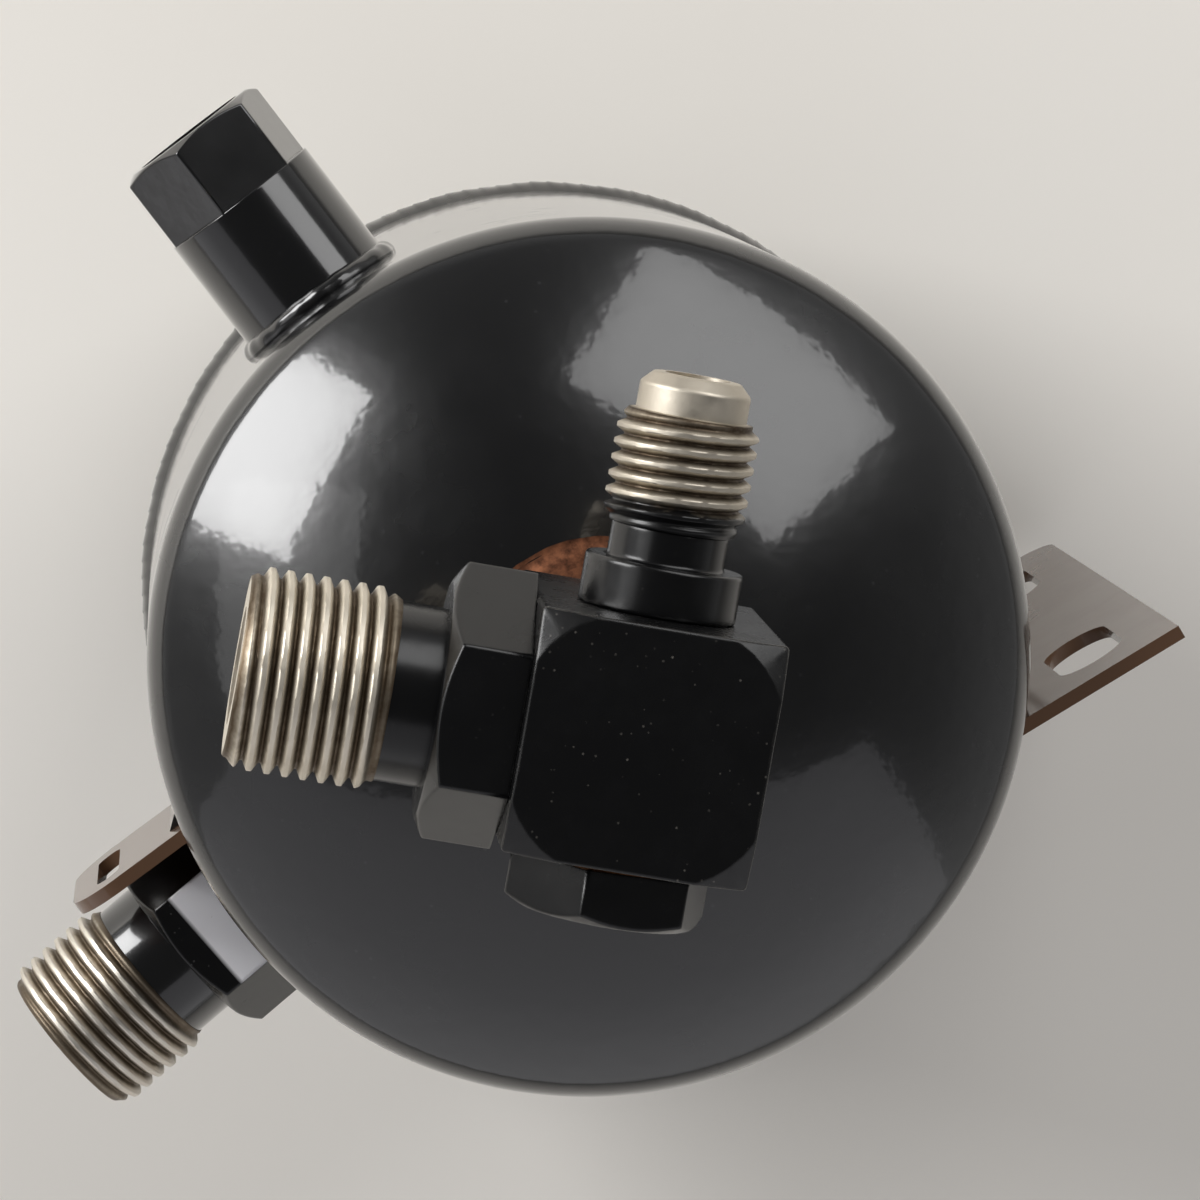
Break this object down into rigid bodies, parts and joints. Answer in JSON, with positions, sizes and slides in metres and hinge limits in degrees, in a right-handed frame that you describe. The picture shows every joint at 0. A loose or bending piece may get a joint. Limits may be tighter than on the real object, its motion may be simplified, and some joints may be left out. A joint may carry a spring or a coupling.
{
  "type": "hydraulic reservoir",
  "caption": "Small closed steel reservoir with a corner-set valve block, flare threads for outlet, service and inlet, a capped valve stem, a sight glass and a side bracket.",
  "frame": {"origin": "midpoint between the two bracket slots, on the plate's outer face", "axes": "+Z along the vessel's axis towards the valve, -Y out of the bracket's mounting face, X completing the right-handed frame"},
  "size_m": [0.1059, 0.0956, 0.14],
  "materials": {
    "vessel_paint": "gloss black paint over deep-drawn steel",
    "boss_paint": "gloss black paint over turned steel",
    "bracket_paint": "thin satin black paint over steel sheet",
    "block_paint": "satin black paint worn at the edges",
    "cap_paint": "satin black paint",
    "outlet_metal": "bare turned thread, black painted hexagon",
    "service_metal": "bare turned thread and nose, black painted neck",
    "inlet_metal": "bare turned thread, black painted hexagon",
    "braze": "copper-coloured braze fillet",
    "valve_brass": "turned brass",
    "seal": "moulded elastomer",
    "spring_steel": "drawn wire",
    "bare_steel": "plain steel",
    "tube_steel": "drawn tube",
    "mesh_steel": "fine steel screen",
    "glass": "clear flat glass"
  },
  "bodies": {
    "tank": {"backing_ring": "bare_steel", "bracket_plate": "bracket_paint", "bracket_stitch_inner_1": "bracket_paint", "bracket_stitch_inner_2": "bracket_paint", "bracket_stitch_inner_3": "bracket_paint", "bracket_stitch_outer_1": "bracket_paint", "bracket_stitch_outer_2": "bracket_paint", "bracket_stitch_outer_3": "bracket_paint", "core_body": "valve_brass", "core_spring": "spring_steel", "ear_stitch_outer": "bracket_paint", "front_cup": "vessel_paint", "girth_weld": "vessel_paint", "gland_nut": "valve_brass", "glass_gasket": "seal", "glass_retainer": "bare_steel", "inlet_fitting": "inlet_metal", "inlet_weld": "boss_paint", "outlet_fitting": "outlet_metal", "pickup_tube": "tube_steel", "rear_cup": "vessel_paint", "service_port": "service_metal", "sight_glass": "glass", "sight_glass_body": "boss_paint", "sight_glass_weld": "boss_paint", "spigot_braze": "braze", "stem_packing": "seal", "strainer": "mesh_steel", "strap_ear": "bracket_paint", "valve_block": "block_paint"},
    "disc": {"valve_disc": "valve_brass"},
    "stem": {"valve_stem": "valve_brass"},
    "cap_ring": {"cap_gasket": "seal"},
    "cap": {"stem_cap": "cap_paint"},
    "core_pin": {"core_pin": "valve_brass"}
  },
  "joints": [
    {"name": "disc_lift", "type": "slide", "parent": "tank", "child": "disc", "axis": [0.6561, 0.7547, 0], "range_m": [0, 0.0018]},
    {"name": "stem_turn", "type": "hinge", "parent": "disc", "child": "stem", "pos_m": [-0.0382, 0.0262, 0.089], "axis": [0.6561, 0.7547, 0], "range_deg": [0, 648]},
    {"name": "cap_lift", "type": "slide", "parent": "tank", "child": "cap_ring", "axis": [-0.6561, -0.7547, 0], "range_m": [0, 0.003]},
    {"name": "cap_turn", "type": "hinge", "parent": "cap_ring", "child": "cap", "pos_m": [-0.0382, 0.0262, 0.089], "axis": [-0.6561, -0.7547, 0], "range_deg": [0, 1080]},
    {"name": "core_press", "type": "slide", "parent": "tank", "child": "core_pin", "axis": [-0.6561, -0.7547, 0], "range_m": [0, 0.0012], "stiffness_N_per_m": 600, "springref_m": -0.002, "deforming": ["core_spring"]}
  ],
  "couplings": [
    {"joint": "stem_turn", "follows": "disc_lift", "rad_per_m": 6283.2},
    {"joint": "cap_turn", "follows": "cap_lift", "rad_per_m": 6283.2}
  ]
}
